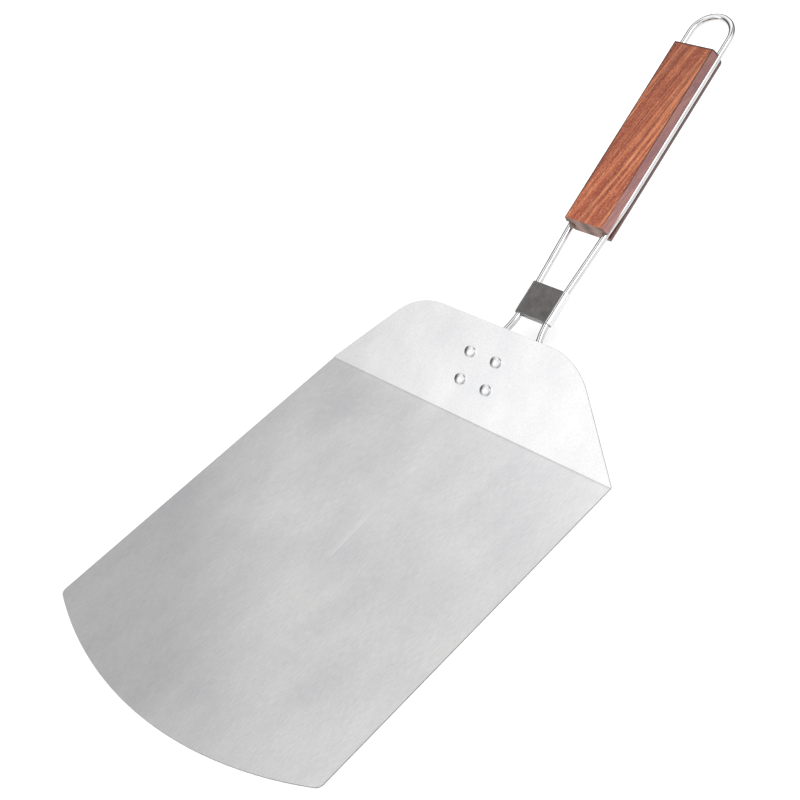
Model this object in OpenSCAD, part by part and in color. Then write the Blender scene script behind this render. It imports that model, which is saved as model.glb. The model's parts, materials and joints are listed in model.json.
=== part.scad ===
// Folding pizza peel: sheet-steel blade with a turned-up tail, a hinge bracket
// riveted under the tail, a bent-wire handle that folds under the blade, a
// sliding lock collar and a wooden grip held between the two legs of the wire.
// Units are millimetres. +Z is up and +Y points from the blade to the handle.
// The origin is the middle of the blade's flat underside, which lies on z = 0.

/* [Blade] */
// width of the blade
blade_w = 305; // [295:1:315]
// flat length, from the bend to the tip of the curved front edge
blade_len = 341; // [320:1:360]
// how far the front edge bulges ahead of its two corners
front_bulge = 36; // [30:1:42]
// radius of the two front corners
front_r = 6.5; // [3:0.5:10]
// thickness of the sheet
sheet_t = 1.0; // [0.8:0.1:1.2]
// inside radius of the bend between blade and tail
bend_r = 1.5; // [1:0.5:2.5]

/* [Tail] */
// angle by which the tail turns up from the blade
tail_angle = 41.3; // [40:0.1:43]
// length of the tail, from the bend to its rear edge
tail_len = 79.5; // [76:0.1:84]
// width of the tail at its rear edge, before the corners are rounded
tail_end_w = 170; // [160:1:180]
// radius of the two rear corners
tail_r = 60; // [40:1:64]

/* [Rivets] */
// distance between rivets across the tail
rivet_gap_x = 27.8; // [26:0.1:29]
// distance between rivets along the tail
rivet_gap_y = 23.4; // [20:0.1:26]
// distance from the bend to the middle of the four rivets
rivet_mid = 40.1; // [39:0.1:42]
// diameter of the button head
rivet_head_d = 9; // [8:0.1:10]
// height of the button head
rivet_head_h = 2.8; // [2.2:0.1:3.2]
// how far the head's top is domed above its straight rim
rivet_dome_h = 0.8; // [0.5:0.1:1.2]
// diameter of the shank
rivet_shank_d = 4.8; // [4:0.1:5]

/* [Hinge bracket] */
// thickness of the bracket's sheet
bracket_t = 1.5; // [1.2:0.1:1.5]
// outside width over the two cheeks
bracket_w = 43; // [42:0.1:43]
// length of the web that lies under the tail
bracket_len = 42; // [40:1:44]
// radius of the cheek around the hinge hole
cheek_r = 6.5; // [5.5:0.1:6.8]
// distance of the hinge axis behind the bend
hinge_back = 47.2; // [46.5:0.1:48]
// height of the hinge axis above the blade's underside
hinge_rise = 7.2; // [7:0.1:8]

/* [Handle wire] */
// diameter of the wire
wire_d = 5.8; // [5.6:0.1:6]
// slope of the opened handle above the blade
handle_angle = 22.3; // [20:0.1:24]
// distance between the legs at the hinge, centre to centre
foot_gap = 52; // [52:0.1:54]
// distance between the legs at the lower end of the neck, centre to centre
neck_gap = 29.2; // [28:0.1:29.4]
// distance between the legs at the upper end of the neck, centre to centre
neck_top_gap = 30.2; // [29:0.1:30.2]
// distance between the legs along the grip, centre to centre
grip_gap = 39.2; // [38:0.1:39.4]
// distance from the hinge to the middle of the hanging loop
loop_at = 341.2; // [340:0.1:360]

/* [Lock collar] */
// length of the collar along the handle
collar_len = 30; // [26:1:30]
// outside width of the flattened sleeve
collar_w = 38.8; // [38.8:0.1:39.4]
// outside height of the flattened sleeve
collar_h = 8.4; // [8.4:0.1:9]
// wall of the sleeve
collar_t = 0.85; // [0.7:0.05:0.85]
// distance from the hinge to the collar's lower rim
collar_at = 55; // [54:0.5:58]

/* [Grip] */
// length of the wooden grip
grip_len = 180; // [170:1:182]
// width over the two rounded sides
grip_w = 43.8; // [42:0.1:46]
// thickness of the grip
grip_h = 20.4; // [18:0.1:24]
// distance from the hinge to the grip's lower end
grip_at = 143.4; // [143:0.1:146]

/* [Hidden] */
$fn = 48;
// cutting shapes stick out by this much
spare = 1;

// blade
bend_y = blade_len / 2;
bend_outer_r = bend_r + sheet_t;
bend_reach = bend_outer_r * tan(tail_angle / 2);
front_arc_r = (pow(blade_w / 2, 2) + pow(front_bulge, 2)) / (2 * front_bulge);
front_arc_y = front_arc_r - blade_len / 2;
// the tail's taper starts this far behind the curve of the bend
taper_gap = 0.6;
taper_from = bend_reach + taper_gap;
tail_taper = atan((blade_w - tail_end_w) / 2 / (tail_len - taper_from));

// rivets
rivet_fit = 0.05;
rivet_foot_d = 7.6;
rivet_foot_h = 1.6;
// how far the shank runs into the head and into the foot
rivet_lap = 0.5;
// hair's breadth between riveted faces
seat = 0.02;

// hinge axis seen from the bend, along the tail and at right angles to it
hinge_y = bend_y + hinge_back;
hinge_t = hinge_back * cos(tail_angle) + hinge_rise * sin(tail_angle);
hinge_n = hinge_rise * cos(tail_angle) - hinge_back * sin(tail_angle);
hinge_fit = 0.08;

// bracket
bracket_from = rivet_mid - bracket_len / 2;
channel_r = 3;
channel_depth = 40;
stop_from = 11;
stop_len = 8;
stop_out = 30;
stop_gap = 0.1;
stop_inset = 1;
stop_sink = 0.3;

// wire
wire_r = wire_d / 2;
pin_in = 16;
pin_bend_r = 4.3;
foot_len = 14.6;
neck_from = 47.5;
neck_to = 86;
straight_from = 175;
wire_fn = 24;
bend_fn = 60;

// Each row is a corner of a leg, hinge to loop: across, along, bend radius.
leg_corners = [
    [pin_in, 0, 0],
    [foot_gap / 2, 0, pin_bend_r],
    [foot_gap / 2, foot_len, 14],
    [neck_gap / 2, neck_from, 60],
    [neck_top_gap / 2, neck_to, 120],
    [grip_gap / 2, straight_from, 300],
    [grip_gap / 2, loop_at, 0]
];
// Rods stop a hair short of each bend, and a thin ring bridges the seam.
seam_gap = 0.15;
seam_len = 0.4;
seam_r = wire_r + 0.03;

// collar and grip sit a little above the plane of the wire
collar_up = 0.3;
grip_up = 1.1;
groove_fit = 0.2;
groove_x = 17.3;

steel = [0.76, 0.77, 0.78];
tail_steel = [0.70, 0.71, 0.72];
bright_steel = [0.86, 0.87, 0.88];
dark_steel = [0.36, 0.36, 0.35];
wood = [0.66, 0.35, 0.22];

function dir(a) = [cos(a), sin(a)];
function xy(p) = [p.x, p.y];
function heading(a, b) = atan2(b.y - a.y, b.x - a.x);
function turn(p, q, s) =
    let (d = heading(q, s) - heading(p, q))
    d > 180 ? d - 360 : (d < -180 ? d + 360 : d);
// length that a bend of radius q.z takes from each side of corner q
function reach(p, q, s) = q.z * tan(abs(turn(p, q, s)) / 2);
// point where a line from p touches a circle on side s (1 or -1)
function touch(p, c, r, s) =
    c + r * dir(heading(c, p) + s * acos(r / norm(p - c)));

// ---------- placing ----------

module on_tail() {
    translate([0, bend_y, 0]) rotate([tail_angle, 0, 0]) children();
}

module on_handle() {
    translate([0, hinge_y, hinge_rise]) rotate([handle_angle, 0, 0]) children();
}

// extrudes a cross-section along Y, from y = start
module along_y(start, len) {
    translate([0, start + len, 0]) rotate([90, 0, 0]) linear_extrude(len) children();
}

// extrudes a side view along X
module along_x(start, len) {
    translate([start, 0, 0]) rotate([90, 0, 90]) linear_extrude(len) children();
}

module both_sides() {
    children();
    mirror([1, 0, 0]) children();
}

// what a rounded corner of radius r removes between two outward directions,
// with a tip a little past the sharp corner
module corner_waste(c, r, a1, a2) {
    overshoot = 1.05;
    tip = overshoot * r / cos((a2 - a1) / 2);
    difference() {
        polygon([c, c + r * dir(a1), c + tip * dir((a1 + a2) / 2), c + r * dir(a2)]);
        translate(c) circle(r);
    }
}

// ---------- blade ----------

// side view of the bent sheet: everything above the underside, less
// everything above the upper face, each with its own bend radius
module sheet_side() {
    centre = [bend_y - bend_reach, bend_outer_r];
    inner_corner = [bend_y - sheet_t * tan(tail_angle / 2), sheet_t];
    along = 2 * tail_len * dir(tail_angle);
    top = along.y + sheet_t;
    front = -2 * blade_len;
    difference() {
        polygon([[-blade_len, 0], [bend_y, 0], [bend_y, 0] + along, [-blade_len, top]]);
        corner_waste(centre, bend_outer_r, -90, tail_angle - 90);
        difference() {
            polygon([[front, sheet_t], inner_corner, inner_corner + 2 * along, [front, 3 * top]]);
            corner_waste(centre, bend_r, -90, tail_angle - 90);
        }
    }
}

// plan view, with straight sides that run on under the tail
module blade_outline() {
    corner_x = blade_w / 2 - front_r;
    corner_y = front_arc_y - sqrt(pow(front_arc_r - front_r, 2) - pow(corner_x, 2));
    corner_a = heading([0, front_arc_y], [corner_x, corner_y]);
    difference() {
        intersection() {
            translate([0, front_arc_y]) circle(front_arc_r, $fn = 360);
            translate([-blade_w / 2, -blade_len]) square([blade_w, 2 * blade_len]);
        }
        both_sides() corner_waste([corner_x, corner_y], front_r, corner_a, 0);
    }
}

// what is trimmed from the tail: all but a taper with two rounded corners
module tail_waste() {
    corner_y = tail_len - tail_r;
    side_x = blade_w / 2 - (corner_y - taper_from) * tan(tail_taper);
    corner_x = side_x - tail_r / cos(tail_taper);
    end_x = tail_end_w / 2;
    wide_x = end_x + 2 * tail_len * tan(tail_taper);
    difference() {
        translate([-blade_w, 0]) square([2 * blade_w, 3 * tail_len]);
        polygon([[-wide_x, -tail_len], [wide_x, -tail_len], [end_x, tail_len], [-end_x, tail_len]]);
    }
    both_sides() corner_waste([corner_x, corner_y], tail_r, tail_taper, 90, $fn = 180);
}

module at_rivets() {
    for (x = [-1, 1], y = [-1, 1])
        translate([x * rivet_gap_x / 2, rivet_mid + y * rivet_gap_y / 2, 0]) children();
}

module rivet_hole() {
    d = rivet_shank_d + 2 * rivet_fit;
    translate([0, 0, -channel_depth / 2]) cylinder(h = channel_depth, d = d);
}

module blade() {
    color(steel) difference() {
        intersection() {
            along_x(-blade_w, 2 * blade_w) sheet_side();
            translate([0, 0, -spare]) linear_extrude(3 * tail_len) blade_outline();
        }
        on_tail() translate([0, 0, -spare]) linear_extrude(sheet_t + 2 * spare) tail_waste();
        on_tail() at_rivets() rivet_hole();
    }
}

// ---------- rivets ----------

// button head on the tail, shank through tail and bracket, upset foot below
module rivet(x, y) {
    dome_r = (pow(rivet_head_d / 2, 2) + pow(rivet_dome_h, 2)) / (2 * rivet_dome_h);
    foot_z = -bracket_t - 2 * seat;
    color(bright_steel)
    on_tail() translate([x * rivet_gap_x / 2, rivet_mid + y * rivet_gap_y / 2, 0]) {
        translate([0, 0, sheet_t + seat]) intersection() {
            translate([0, 0, rivet_head_h - dome_r]) sphere(dome_r);
            cylinder(h = rivet_head_h + spare, d = rivet_head_d);
        }
        translate([0, 0, foot_z - rivet_lap])
            cylinder(h = sheet_t + seat - foot_z + 2 * rivet_lap, d = rivet_shank_d);
        translate([0, 0, foot_z - rivet_foot_h]) cylinder(h = rivet_foot_h, d = rivet_foot_d);
    }
}

module rivet_front_left() { rivet(-1, -1); }
module rivet_front_right() { rivet(1, -1); }
module rivet_rear_left() { rivet(-1, 1); }
module rivet_rear_right() { rivet(1, 1); }

// ---------- hinge bracket ----------

// folded channel, seen along the tail: a web with a cheek down each side
module channel_section() {
    w = bracket_w / 2;
    inner_r = channel_r - bracket_t;
    difference() {
        union() {
            translate([-w, -channel_depth]) square([2 * w, channel_depth - channel_r]);
            translate([channel_r - w, -channel_r]) square([2 * (w - channel_r), channel_r]);
            both_sides() translate([w - channel_r, -channel_r]) circle(channel_r);
        }
        translate([bracket_t - w, -channel_depth - spare])
            square([2 * (w - bracket_t), channel_depth + spare - channel_r]);
        translate([channel_r - w, -channel_r - spare])
            square([2 * (w - channel_r), channel_r + spare - bracket_t]);
        both_sides() translate([w - channel_r, -channel_r]) circle(inner_r);
    }
}

// side view of a cheek: from the web down to the stop tab and round the hinge
module cheek_side() {
    hub = [hinge_t, hinge_n];
    along = dir(handle_angle - tail_angle);
    up = dir(handle_angle - tail_angle + 90);
    under_stop = hub + (wire_r + stop_gap + stop_sink) * up;
    front = [bracket_from, 0];
    stop_near = under_stop + (stop_from - stop_inset) * along;
    stop_far = under_stop + (stop_from + stop_len + stop_inset) * along;
    polygon([front, [bracket_from + bracket_len, 0], stop_far, stop_near,
             touch(stop_near, hub, cheek_r, -1), hub, touch(front, hub, cheek_r, 1)]);
    translate(hub) circle(cheek_r);
}

// tab bent out of the cheek's edge, which the opened wire rests against
module stop_tab() {
    root = (bracket_w - bracket_t) / 2;
    along_y(stop_from, stop_len)
        translate([root, wire_r + stop_gap]) square([stop_out - root, bracket_t]);
}

module hinge_bracket() {
    color(tail_steel) difference() {
        union() {
            on_tail() translate([0, 0, -seat]) intersection() {
                along_y(bracket_from - spare, bracket_len + 2 * spare) channel_section();
                along_x(-bracket_w, 2 * bracket_w) cheek_side();
            }
            on_handle() both_sides() stop_tab();
        }
        on_tail() at_rivets() rivet_hole();
        on_handle() rotate([0, 90, 0])
            cylinder(h = 2 * bracket_w, r = wire_r + hinge_fit, center = true);
    }
}

// ---------- handle wire ----------

module rod(a, b) {
    translate(a) rotate([0, 0, heading(a, b)]) rotate([0, 90, 0])
        cylinder(h = norm(b - a), r = wire_r, $fn = wire_fn);
}

module arc_rod(bend_radius, angle) {
    rotate_extrude(angle = angle, $fn = bend_fn)
        translate([bend_radius, 0]) circle(wire_r, $fn = wire_fn);
}

module seam_ring(p, towards) {
    translate(p) rotate([0, 0, towards]) rotate([0, 90, 0])
        cylinder(h = seam_len, r = seam_r, center = true, $fn = wire_fn);
}

module wire_bend(p, q, s) {
    d = turn(p, q, s);
    side = d > 0 ? 1 : -1;
    start = xy(q) - reach(p, q, s) * dir(heading(p, q));
    end = xy(q) + reach(p, q, s) * dir(heading(q, s));
    centre = start + q.z * dir(heading(p, q) + 90 * side);
    translate(centre) rotate([0, 0, heading(p, q) - 90 * side + min(d, 0)]) arc_rod(q.z, abs(d));
    seam_ring(start, heading(p, q));
    seam_ring(end, heading(q, s));
}

module wire_leg(side) {
    path = [for (c = leg_corners) [side * c.x, c.y, c.z]];
    last = len(path) - 1;
    for (i = [0 : last - 1]) {
        along = dir(heading(path[i], path[i + 1]));
        cut_a = i > 0 ? reach(path[i - 1], path[i], path[i + 1]) + seam_gap : 0;
        cut_b = i < last - 1 ? reach(path[i], path[i + 1], path[i + 2]) + seam_gap : seam_gap;
        rod(xy(path[i]) + cut_a * along, xy(path[i + 1]) - cut_b * along);
    }
    for (i = [1 : last - 1])
        wire_bend(path[i - 1], path[i], path[i + 1]);
    seam_ring(xy(path[last]), 90);
}

module handle_wire() {
    color(bright_steel) on_handle() {
        wire_leg(-1);
        wire_leg(1);
        translate([0, loop_at, 0]) arc_rod(grip_gap / 2, 180);
    }
}

// ---------- lock collar ----------

module flat_oval(w, h) {
    square([w - h, h], center = true);
    for (side = [-1, 1]) translate([side * (w - h) / 2, 0]) circle(d = h);
}

module lock_collar() {
    color(dark_steel) on_handle() translate([0, 0, collar_up]) along_y(collar_at, collar_len)
        difference() {
            flat_oval(collar_w, collar_h);
            flat_oval(collar_w - 2 * collar_t, collar_h - 2 * collar_t);
        }
}

// ---------- grip ----------

module groove_section() {
    d = wire_d + 2 * groove_fit;
    translate([groove_x, -d / 2]) square([grip_w, d]);
    translate([groove_x, 0]) circle(d = d);
}

module grip() {
    color(wood) on_handle() along_y(grip_at, grip_len)
        difference() {
            translate([0, grip_up]) intersection() {
                circle(d = grip_w, $fn = 96);
                square([grip_w, grip_h], center = true);
            }
            both_sides() groove_section();
        }
}

blade();
hinge_bracket();
rivet_front_left();
rivet_front_right();
rivet_rear_left();
rivet_rear_right();
handle_wire();
lock_collar();
grip();
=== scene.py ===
"""Looks for the folding pizza peel: brushed sheet steel, polished rivets, bright
drawn wire, a dark-faced lock collar and an oiled hardwood grip, on a pale floor.

Lengths are metres in the part's own frame: +Z up, +Y from the blade to the handle.
"""

import json
import math

import bmesh
import bpy
from mathutils import Euler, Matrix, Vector


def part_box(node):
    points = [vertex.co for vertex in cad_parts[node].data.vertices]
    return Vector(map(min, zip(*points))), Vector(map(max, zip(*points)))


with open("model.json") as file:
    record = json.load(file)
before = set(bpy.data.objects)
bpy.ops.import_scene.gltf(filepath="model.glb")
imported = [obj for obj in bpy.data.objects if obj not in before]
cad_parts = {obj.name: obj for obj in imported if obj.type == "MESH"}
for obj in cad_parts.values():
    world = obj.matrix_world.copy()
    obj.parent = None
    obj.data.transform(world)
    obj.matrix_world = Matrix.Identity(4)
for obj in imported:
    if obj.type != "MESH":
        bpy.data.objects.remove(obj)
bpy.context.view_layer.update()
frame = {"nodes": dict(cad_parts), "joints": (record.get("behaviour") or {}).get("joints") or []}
nodes = frame["nodes"]
joints = {j["name"]: j for j in frame["joints"]}

MM = 0.001
ACROSS = Vector((1, 0, 0))
ALONG = Vector((0, 1, 0))
UP = Vector((0, 0, 1))
WHITE = (1, 1, 1, 1)
# places of the Mix node's colour sockets among its inputs and outputs
MIX_A, MIX_B, MIX_OUT = 6, 7, 2

# ---------- places taken from the frame ----------

# the handle's own directions: along its legs, and square to them
handle_axis = Vector(joints["collar_slide"]["axis"])
handle_up = Vector((0, -handle_axis.z, handle_axis.y))
handle_tilt = math.atan2(handle_axis.z, handle_axis.y)
# height of the wire's plane along handle_up, which the grip's side grooves follow
groove_z = Vector(joints["handle_hinge"]["pos_m"]).dot(handle_up)


def reach(node, direction):
    """Lowest and highest point of a CAD node along a direction."""
    along = [v.co.dot(direction) for v in nodes[node].data.vertices]
    return min(along), max(along)


def middle(node):
    """Middle of a CAD node's box."""
    low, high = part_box(node)
    return (Vector(low) + Vector(high)) / 2


# directions along the turned-up tail and square to it, from two of its rivets
tail_along = (middle("rivet_rear_left") - middle("rivet_front_left")).normalized()
tail_up = Vector((0, -tail_along.z, tail_along.y))

# painted shade round the foot of a rivet's head, from this far under its top
RIVET_SHADE_DEPTH = 2.4 * MM
rivet_shade_line = reach("rivet_rear_left", tail_up)[1] - RIVET_SHADE_DEPTH

# where the bend starts on the sheet's upper face
SHEET = 1 * MM
CLOSE = 0.01 * MM
upper_face = [v.co.y for v in nodes["blade"].data.vertices if abs(v.co.z - SHEET) < CLOSE]
bend_start = max(upper_face)
# a shallow crease in the blade, as (x, y) at its two ends
CREASE_START = (13.8 * MM, 6.8 * MM)
CREASE_END = (8.8 * MM, 80.6 * MM)

# the collar's flats lie between its two round sides
COLLAR_ROUND = 3.9 * MM
flat_half = reach("lock_collar", ACROSS)[1] - COLLAR_ROUND
collar_low, collar_top = reach("lock_collar", handle_up)
collar_middle = (collar_low + collar_top) / 2
collar_half_h = collar_top - collar_middle

# the grip's flats lie between its two round sides
grip_start, grip_end = reach("grip", handle_axis)
grip_low, grip_top = reach("grip", handle_up)
grip_radius = reach("grip", ACROSS)[1]
grip_flat_half = math.sqrt(grip_radius**2 - ((grip_top - grip_low) / 2) ** 2)


# ---------- material building ----------


class Nodes:
    """Short calls that add nodes to one tree."""

    def __init__(self, tree):
        self.tree = tree

    def node(self, kind, inputs=(), **settings):
        """Adds a node. Its inputs are pairs: socket name or number, value or output."""
        made = self.tree.nodes.new(kind)
        for key, value in settings.items():
            setattr(made, key, value)
        for label, value in inputs:
            self.feed(made.inputs[label], value)
        return made

    def feed(self, socket, value):
        """Joins an output to a socket, or sets the socket to a plain value."""
        if isinstance(value, bpy.types.NodeSocket):
            self.tree.links.new(value, socket)
        else:
            socket.default_value = value

    def maths(self, operation, *values):
        """One Math node over values and outputs."""
        made = self.node("ShaderNodeMath", enumerate(values), operation=operation)
        return made.outputs[0]

    def product(self, first, *others):
        """Multiplies values and outputs together."""
        for other in others:
            first = self.maths("MULTIPLY", first, other)
        return first

    def dot(self, vector, direction):
        """How far a vector reaches along a direction."""
        inputs = [(0, vector), (1, direction)]
        return self.node("ShaderNodeVectorMath", inputs, operation="DOT_PRODUCT").outputs["Value"]

    def spread(self, value, low, high, to_low=0.0, to_high=1.0, smooth=False):
        """Maps low..high to to_low..to_high, clamped."""
        made = self.node(
            "ShaderNodeMapRange",
            [
                ("Value", value),
                ("From Min", low),
                ("From Max", high),
                ("To Min", to_low),
                ("To Max", to_high),
            ],
            interpolation_type="SMOOTHSTEP" if smooth else "LINEAR",
        )
        return made.outputs["Result"]

    def ramp(self, value, stops):
        """Colours by position: stops are (position, (r, g, b)) in linear light."""
        made = self.node("ShaderNodeValToRGB", [("Fac", value)])
        elements = made.color_ramp.elements
        while len(elements) < len(stops):
            elements.new(1.0)
        for element, (position, colour) in zip(elements, stops):
            element.position = position
            element.color = (*colour, 1)
        return made.outputs["Color"]

    def greys(self, value, stops):
        """Grey levels by position: stops are (position, level)."""
        return self.ramp(value, [(position, (level,) * 3) for position, level in stops])

    def mix(self, amount, a, b):
        """Colour a where amount is 0, colour b where it is 1."""
        inputs = [(0, amount)]
        for number, value in ((MIX_A, a), (MIX_B, b)):
            plain = not isinstance(value, bpy.types.NodeSocket)
            inputs.append((number, (*value, 1) if plain else value))
        return self.node("ShaderNodeMix", inputs, data_type="RGBA").outputs[MIX_OUT]

    def xyz(self, vector):
        return self.node("ShaderNodeSeparateXYZ", [(0, vector)]).outputs


class Surface(Nodes):
    """A node material on one Principled shader, fed by object coordinates."""

    def __init__(self, name):
        self.material = bpy.data.materials.new(name)
        self.material.use_nodes = True
        super().__init__(self.material.node_tree)
        self.shader = self.tree.nodes["Principled BSDF"]
        places = self.node("ShaderNodeTexCoord").outputs
        self.coords = places["Object"]
        self.normal = places["Normal"]

    def set(self, **inputs):
        """Sets Principled inputs: base_color=... goes to "Base Color"."""
        for key, value in inputs.items():
            label = key.replace("_", " ").title().replace("Ior", "IOR")
            self.feed(self.shader.inputs[label], value)

    def mapped(self, scale=(1, 1, 1), turn=(0, 0, 0), move=(0, 0, 0), source=None):
        made = self.node(
            "ShaderNodeMapping",
            [
                ("Vector", source or self.coords),
                ("Scale", scale),
                ("Rotation", turn),
                ("Location", move),
            ],
        )
        return made.outputs["Vector"]

    def level(self):
        """Object coordinates turned so that Y runs along the handle."""
        return self.mapped(turn=(-handle_tilt, 0, 0))

    def noise(self, vector, scale, detail=2.0, roughness=0.5, distortion=0.0):
        made = self.node(
            "ShaderNodeTexNoise",
            [
                ("Vector", vector),
                ("Scale", scale),
                ("Detail", detail),
                ("Roughness", roughness),
                ("Distortion", distortion),
            ],
        )
        return made.outputs["Fac"]

    def scaled(self, colour, factor):
        """A colour made brighter or darker."""
        made = self.node("ShaderNodeVectorMath", operation="SCALE")
        self.feed(made.inputs[0], colour)
        self.feed(made.inputs["Scale"], factor)
        return made.outputs[0]

    def facing(self, direction):
        """How squarely the surface faces a direction or its opposite, 0 to 1."""
        return self.maths("ABSOLUTE", self.dot(self.normal, direction))

    def run(self, direction):
        """A fixed direction of the object, turned into the scene."""
        made = self.node(
            "ShaderNodeVectorTransform",
            [(0, direction)],
            vector_type="VECTOR",
            convert_from="OBJECT",
            convert_to="WORLD",
        )
        return made.outputs[0]

    def bump(self, height, distance, strength):
        inputs = [("Height", height), ("Distance", distance), ("Strength", strength)]
        return self.node("ShaderNodeBump", inputs).outputs["Normal"]


def linear(r, g, b):
    """Linear light from sRGB values of 0 to 255."""
    return tuple(
        v / 255 / 12.92 if v / 255 <= 0.04045 else ((v / 255 + 0.055) / 1.055) ** 2.4
        for v in (r, g, b)
    )


def dress(names, material):
    """Gives CAD nodes one material."""
    for name in names:
        mesh = nodes[name].data
        mesh.materials.clear()
        mesh.materials.append(material)


# ---------- sheet steel ----------


def brushed_steel(name, tone, grain, shade_depth, painted_light_factor=None):
    """Satin sheet with short strokes along Y, cool clouding and fine pits. The function given
    last makes a brightness factor of painted light and shade on the sheet."""
    s = Surface(name)
    strokes = s.noise(s.mapped(scale=(1, 0.16, 1)), 900, detail=3, roughness=0.65)
    fine = s.noise(s.mapped(scale=(1, 0.35, 1)), 2400, detail=2)
    clouds = s.noise(s.coords, 11, detail=3, roughness=0.55, distortion=0.4)
    smears = s.noise(s.mapped(scale=(1, 0.35, 1)), 38, detail=3)
    cool = (0.994, 1.0, 1.018)
    dark = tuple(c * shade_depth * tint for c, tint in zip(tone, cool))
    shade = s.maths("MULTIPLY_ADD", smears, 0.4, s.product(clouds, 0.6))
    colour = s.ramp(s.spread(shade, 0.38, 0.62), ((0.0, dark), (1.0, tone)))
    brightness = s.product(
        s.spread(strokes, 0.35, 0.65, 1 - grain, 1 + grain),
        s.spread(fine, 0.3, 0.7, 1 - grain, 1 + grain),
        edge_painted_shade(s),
    )
    if painted_light_factor:
        brightness = s.product(brightness, painted_light_factor(s))
    s.set(
        base_color=s.scaled(colour, brightness),
        metallic=1.0,
        roughness=s.spread(s.maths("ADD", clouds, fine), 0.8, 1.2, 0.36, 0.42),
        anisotropic=0.3,
        tangent=s.run(ALONG),
        normal=s.bump(s.maths("MULTIPLY_ADD", fine, 0.4, strokes), 0.02 * MM, 0.35),
    )
    return s.material


def edge_painted_shade(s):
    """Painted shade: the sheared edges and bends of a sheet are made darker than its flat faces,
    by how far their surface turns from them.
    """
    flat = s.maths("MAXIMUM", s.facing(UP), s.facing(tail_up))
    return s.product(
        s.spread(flat, 0.75, 0.9, 0.55, 1.0),
        s.spread(flat, 0.985, 0.998, 0.78, 1.0),
    )


def blade_painted_light(s):
    """Painted light and shade on the blade: soft painted shade toward its front, and the painted
    light of its crease and bend line.
    """
    place = s.xyz(s.coords)
    # painted shade: two soft gradients, darker toward the front of the blade
    to_right = s.maths("MULTIPLY_ADD", place["Y"], 0.9, place["X"])
    to_left = s.maths("MULTIPLY_ADD", place["X"], -0.8, place["Y"])
    return s.product(
        s.spread(to_right, -0.17, -0.01, 0.83, 1.0, smooth=True),
        s.spread(to_left, -0.16, 0.12, 0.90, 1.06, smooth=True),
        bend_painted_shade(s, place),
        crease_painted_light(s, place),
    )


def bend_painted_shade(s, place):
    """A thin line of painted shade just before the sheet's bend."""
    before = s.spread(place["Y"], bend_start - 1.6 * MM, bend_start - 0.4 * MM)
    after = s.spread(place["Y"], bend_start + 0.6 * MM, bend_start + 1 * MM, 1, 0)
    return s.spread(s.product(before, after), 0, 1, 1.0, 0.91)


def crease_painted_light(s, place):
    """The shallow crease, as painted light: a soft painted highlight on its left, a thin line of
    painted shade on its right.
    """
    t = s.spread(place["Y"], CREASE_START[1], CREASE_END[1])
    line = s.spread(t, 0, 1, CREASE_START[0], CREASE_END[0])
    offset = s.maths("SUBTRACT", place["X"], line)
    left = s.spread(offset, -7 * MM, 0, 0, 1, smooth=True)
    on_left = s.product(left, s.maths("LESS_THAN", offset, 0))
    right = s.spread(offset, 0, 2 * MM, 1, 0, smooth=True)
    on_right = s.product(right, s.maths("GREATER_THAN", offset, 0))
    fade = s.product(s.spread(t, 0, 0.06), s.spread(t, 0.25, 1, 1, 0))
    change = s.maths("MULTIPLY_ADD", on_right, -0.04, s.product(on_left, 0.10))
    return s.maths("MULTIPLY_ADD", change, fade, 1.0)


# ---------- polished steel ----------


def polished_steel(name, tone, scratch_scale, roughness, shade_under=None):
    """Bright drawn or turned steel: fine scratches, a little tarnish, and painted shade where the
    height along a direction is under the limit given with it."""
    s = Surface(name)
    level = s.level()
    scratches = s.noise(s.mapped(scale=(1, 0.05, 1), source=level), scratch_scale, detail=3)
    tarnish = s.noise(level, 60, detail=3, roughness=0.6)
    dull = tuple(c * 0.86 for c in tone)
    colour = s.ramp(s.spread(tarnish, 0.35, 0.7), ((0.0, tone), (1.0, dull)))
    if shade_under:
        direction, limit = shade_under
        # painted shade: a grey mixed in below the line round the head's foot
        foot_shade = s.spread(s.dot(s.coords, direction), limit - 0.15 * MM, limit, 0.7, 0)
        colour = s.mix(foot_shade, colour, linear(120, 118, 116))
    s.set(
        base_color=colour,
        metallic=1.0,
        roughness=s.spread(scratches, 0.3, 0.7, roughness, roughness + 0.05),
        normal=s.bump(scratches, 0.01 * MM, 0.1),
    )
    return s.material


def collar_steel(name):
    """Flattened sleeve: brushed flats between polished round sides, the flats' dark grey painted
    in as the reflection of a dark room.
    """
    s = Surface(name)
    level = s.level()
    side = s.maths("ABSOLUTE", s.xyz(s.coords)["X"])
    out = s.maths("ABSOLUTE", s.maths("SUBTRACT", s.xyz(level)["Z"], collar_middle))
    outside = s.spread(out, collar_half_h - 0.5 * MM, collar_half_h - 0.3 * MM)
    on_flat = s.spread(side, flat_half, flat_half + 0.5 * MM, 1, 0, smooth=True)
    on_flat = s.product(on_flat, outside)
    brushing = s.noise(s.mapped(scale=(1, 0.12, 1), source=level), 1300, detail=3)
    cloud = s.noise(level, 90, detail=3)
    shade = s.maths("MULTIPLY_ADD", brushing, 0.6, s.product(cloud, 0.4))
    # painted reflection: the flats' dark grey stands in for a dark room reflected in them
    flat = s.ramp(
        s.spread(shade, 0.35, 0.65),
        ((0.0, linear(98, 96, 95)), (1.0, linear(126, 123, 121))),
    )
    s.set(
        base_color=s.mix(on_flat, (0.86, 0.86, 0.87), flat),
        metallic=s.spread(outside, 0, 1, 0.4, 1.0),
        roughness=s.spread(on_flat, 0, 1, 0.20, 0.38),
        normal=s.bump(brushing, 0.015 * MM, 0.3),
    )
    return s.material


# ---------- wood ----------

GRAIN_SLANT = math.radians(9)


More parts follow.
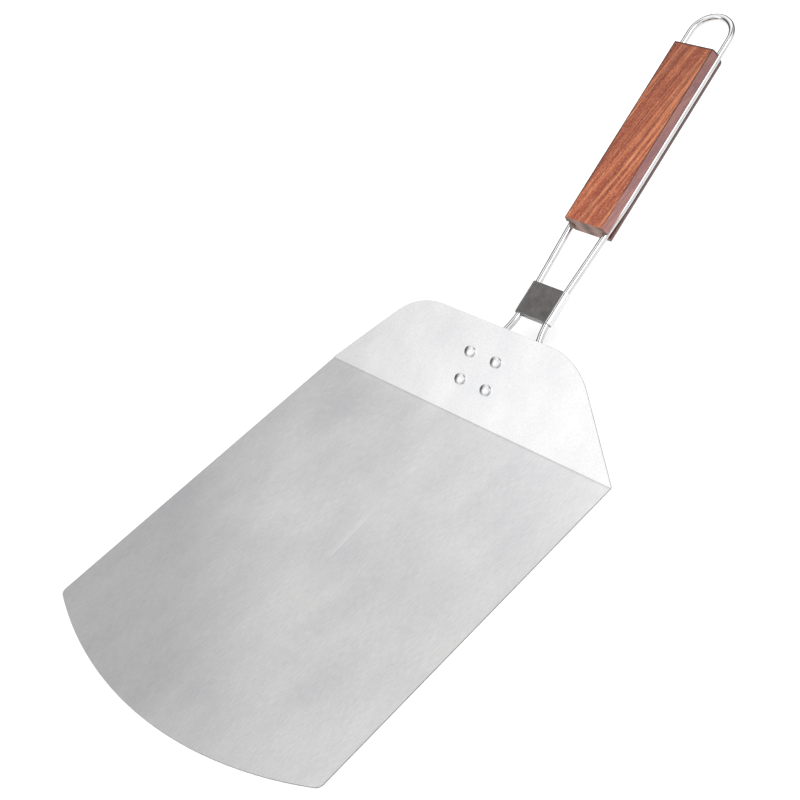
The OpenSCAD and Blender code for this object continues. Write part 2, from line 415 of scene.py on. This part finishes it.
def oiled_wood(name):
    """Reddish hardwood: slanting growth lines, long fibres, pores, end grain."""
    s = Surface(name)
    level = s.level()
    grain = s.mapped(turn=(0, 0, GRAIN_SLANT), source=level)
    drift = s.noise(s.mapped(scale=(1, 0.25, 1), source=grain), 28, detail=2)
    fibres = s.noise(s.mapped(scale=(1, 0.04, 1), source=grain), 1500, detail=4, roughness=0.7)
    pores = s.noise(s.mapped(scale=(1, 0.3, 1), source=grain), 1500, detail=3, roughness=0.7)
    place = s.xyz(level)
    on_side = s.spread(s.facing(ACROSS), 0.2, 0.5)
    on_end = s.spread(s.facing(handle_axis), 0.7, 0.9)

    colour = face_grain(s, grain, drift, fibres, pores)
    # painted sheen: the two round sides are greyed as the varnish's reflection, and the wood is
    # paler toward the blade
    side_painted_sheen = s.mix(0.72, colour, linear(124, 97, 102))
    colour = s.mix(on_side, colour, side_painted_sheen)
    colour = s.scaled(colour, s.spread(place["Y"], grip_start, grip_end, 1.38, 0.97))
    # painted shade and shadow, mixed in as a dark red-brown
    grip_shade = s.product(painted_grip_shade(s, place, drift, on_side), 0.9)
    colour = s.mix(grip_shade, colour, linear(52, 28, 26))
    height = s.maths("MULTIPLY_ADD", fibres, -0.6, s.product(pores, -0.4))
    s.set(
        base_color=s.mix(on_end, colour, end_grain(s, level, pores)),
        roughness=s.spread(fibres, 0.3, 0.7, 0.42, 0.58),
        normal=s.bump(height, 0.06 * MM, 0.5),
        specular_ior_level=0.3,
        coat_weight=0.12,
        coat_roughness=0.25,
    )
    return s.material


def face_grain(s, grain, drift, fibres, pores):
    """Colour of a long face: wide bands, dark growth lines, fibres and pores."""
    sway = s.node("ShaderNodeCombineXYZ", [("X", s.product(drift, 9 * MM))]).outputs[0]
    wavy = s.node("ShaderNodeVectorMath", [(0, grain), (1, sway)], operation="ADD").outputs[0]
    bands = s.noise(s.mapped(scale=(1, 0.02, 0.4), source=wavy), 170, detail=4, roughness=0.6)
    growth = s.noise(s.mapped(scale=(1, 0.012, 0.3), move=(3, 0, 0), source=wavy), 260, detail=1)
    ridge = s.maths("ABSOLUTE", s.maths("SUBTRACT", growth, 0.5))
    lines = s.spread(ridge, 0.0, 0.10, 1, 0, smooth=True)
    colour = s.ramp(
        s.maths("MULTIPLY_ADD", s.xyz(s.coords)["X"], 9, s.spread(bands, 0.38, 0.62)),
        (
            (0.0, linear(124, 50, 28)),
            (0.35, linear(156, 80, 49)),
            (0.65, linear(176, 103, 66)),
            (1.0, linear(196, 124, 84)),
        ),
    )
    colour = s.mix(s.product(lines, 0.85), colour, linear(104, 42, 26))
    colour = s.mix(s.spread(fibres, 0.48, 0.68, 0, 0.6), colour, linear(112, 52, 34))
    colour = s.mix(s.spread(fibres, 0.48, 0.32, 0, 0.45), colour, linear(216, 146, 108))
    colour = s.mix(s.spread(pores, 0.52, 0.66, 0, 0.35), colour, linear(96, 44, 30))
    return s.mix(s.spread(pores, 0.48, 0.36, 0, 0.3), colour, linear(222, 160, 126))


def end_grain(s, level, pores):
    """Colour of the sawn ends, with flattened rings."""
    rings = s.node(
        "ShaderNodeTexWave",
        [
            ("Vector", s.mapped(scale=(0.1, 0, 1), source=level)),
            ("Scale", 160),
            ("Distortion", 3.0),
            ("Detail", 2),
            ("Detail Scale", 2.0),
        ],
    ).outputs["Fac"]
    shade = s.maths("MULTIPLY_ADD", pores, 0.4, s.product(rings, 0.6))
    return s.ramp(
        s.spread(shade, 0.2, 0.8),
        ((0.0, linear(104, 74, 64)), (1.0, linear(164, 132, 118))),
    )


def painted_grip_shade(s, place, drift, on_side):
    """Where painted shade darkens the wood: lines along the top's crisp edges and far end, and
    painted shadow on the sides below the wire's groove.
    """
    off_middle = s.maths("ABSOLUTE", place["X"])
    rim = s.spread(off_middle, grip_flat_half - 1.3 * MM, grip_flat_half - 0.7 * MM)
    patchy = s.spread(drift, 0.3, 0.6, 0.4, 1.0)
    rim = s.product(rim, s.maths("SUBTRACT", 1.0, on_side), patchy)
    tip = s.spread(place["Y"], grip_end - 1.6 * MM, grip_end - 0.9 * MM)
    under = s.product(s.spread(place["Z"], groove_z, groove_z - 2 * MM, 0, 0.85), on_side)
    return s.maths("MAXIMUM", s.maths("MAXIMUM", rim, tip), under)


blade_steel = brushed_steel(
    "blade steel",
    tone=(0.853, 0.849, 0.847),
    grain=0.05,
    shade_depth=0.89,
    painted_light_factor=blade_painted_light,
)
bracket_steel = brushed_steel(
    "bracket steel",
    tone=(0.80, 0.80, 0.81),
    grain=0.06,
    shade_depth=0.88,
)
drawn_wire = polished_steel(
    "drawn wire",
    tone=(0.81, 0.81, 0.82),
    scratch_scale=1500,
    roughness=0.03,
)
rivet_steel = polished_steel(
    "rivet steel",
    tone=(0.86, 0.86, 0.87),
    scratch_scale=900,
    roughness=0.24,
    shade_under=(tail_up, rivet_shade_line),
)
dress(["blade"], blade_steel)
dress(["hinge_bracket"], bracket_steel)
dress(["handle_wire"], drawn_wire)
dress([name for name in nodes if name.startswith("rivet_")], rivet_steel)
dress(["lock_collar"], collar_steel("collar steel"))
dress(["grip"], oiled_wood("oiled wood"))

# ---------- floor ----------


def pale_floor(half_side, drop):
    """A wide matt floor, a hair's breadth under the blade."""
    mesh = bpy.data.meshes.new("floor")
    bm = bmesh.new()
    corners = [(-1, -1), (1, -1), (1, 1), (-1, 1)]
    bm.faces.new([bm.verts.new((x * half_side, y * half_side, 0)) for x, y in corners])
    bm.to_mesh(mesh)
    bm.free()
    floor = bpy.data.objects.new("floor", mesh)
    floor.location.z = -drop
    bpy.context.scene.collection.objects.link(floor)
    s = Surface("floor paper")
    # a little light of its own, which only the camera sees, keeps shadows pale
    seen = s.node("ShaderNodeLightPath").outputs["Is Camera Ray"]
    s.set(
        base_color=s.greys(s.noise(s.coords, 3, detail=3), ((0.0, 0.78), (1.0, 0.81))),
        roughness=0.9,
        specular_ior_level=0.1,
        emission_color=WHITE,
        emission_strength=s.product(seen, 0.28),
    )
    mesh.materials.append(s.material)


pale_floor(half_side=40, drop=0.2 * MM)

# ---------- light ----------

LIT_PLACE = Vector((0, 0.1, 0.05))


def softbox(name, direction, distance, size, power):
    """A square area light that faces the object from one direction."""
    light = bpy.data.lights.new(name, "AREA")
    light.shape = "SQUARE"
    light.size = size
    light.energy = power
    lamp = bpy.data.objects.new(name, light)
    towards = Vector(direction).normalized()
    lamp.location = LIT_PLACE + towards * distance
    lamp.rotation_euler = towards.to_track_quat("Z", "Y").to_euler()
    bpy.context.scene.collection.objects.link(lamp)


softbox("tail light", (-0.57, -0.66, 0.52), distance=2.4, size=1.1, power=3.2)
softbox("top light", (0.62, 0.1, 0.8), distance=2.6, size=1.6, power=14)
softbox("back light", (-0.33, 0.80, 0.75), distance=2.6, size=1.6, power=3.6)

# brightness of the room that the metal reflects, by the upward part of a direction:
# an unlit wall on WALL_SIDE, and the lit half of the room opposite
WALL_SIDE = Vector((-0.7, 0.7, 0))
WALL = [(0.0, 0.02), (0.48, 0.03), (0.62, 0.66), (0.76, 0.82), (0.90, 1.3)]
ROOM = [(0.0, 0.50), (0.30, 0.80), (0.60, 1.15), (0.80, 1.20), (1.0, 1.20)]
# brightness of the even glow that lights everything else
GLOW = [(0.0, 0.85), (1.0, 1.3)]
# the gap between the overhead panels: its middle, half width and soft edge, as
# sideways parts of a direction
GAP_MIDDLE = 0.10
GAP_HALF = 0.17
GAP_BLUR = 0.04


def studio_world():
    """White to the camera and an even glow for soft light. Reflections show a room
    lit from above and in front, with a dark wall behind and a gap in its panels."""
    world = bpy.data.worlds.new("studio")
    world.use_nodes = True
    bpy.context.scene.world = world
    world.node_tree.nodes.clear()
    n = Nodes(world.node_tree)

    def background(*inputs):
        return n.node("ShaderNodeBackground", inputs).outputs[0]

    def either(choice, no, yes):
        return n.node("ShaderNodeMixShader", [(0, choice), (1, no), (2, yes)]).outputs[0]

    direction = n.node("ShaderNodeTexCoord").outputs["Generated"]
    parts = n.xyz(direction)
    walled = n.spread(n.dot(direction, WALL_SIDE), -0.25, 0.25, smooth=True)
    tone = n.mix(walled, n.greys(parts["Z"], ROOM), n.greys(parts["Z"], WALL))
    off_gap = n.maths("ABSOLUTE", n.maths("SUBTRACT", parts["X"], GAP_MIDDLE))
    panel = n.spread(off_gap, GAP_HALF, GAP_HALF + GAP_BLUR, smooth=True)
    low_down = n.spread(parts["Z"], 0.80, 0.90, 1.0, 0.0, smooth=True)
    strength = n.maths("MAXIMUM", panel, low_down)
    room = background(("Color", tone), ("Strength", strength))
    glow = background(("Color", n.greys(parts["Z"], GLOW)))
    backdrop = background(("Color", WHITE))
    path = n.node("ShaderNodeLightPath").outputs
    lit = either(path["Is Glossy Ray"], glow, room)
    seen = either(path["Is Camera Ray"], lit, backdrop)
    n.node("ShaderNodeOutputWorld", [("Surface", seen)])


studio_world()
bpy.context.scene.view_settings.view_transform = "Standard"

# ---------- camera ----------

# from high on the front right, turned so that the handle points up and to the right
camera_data = bpy.data.cameras.new("camera")
camera_data.sensor_width = 36
camera_data.lens = 66.44
camera_data.clip_end = 200
camera = bpy.data.objects.new("camera", camera_data)
camera.location = (0.71554, -0.33975, 0.78570)
camera.rotation_euler = Euler([math.radians(a) for a in (47.957, 14.669, 44.333)])
bpy.context.scene.collection.objects.link(camera)
bpy.context.scene.camera = camera
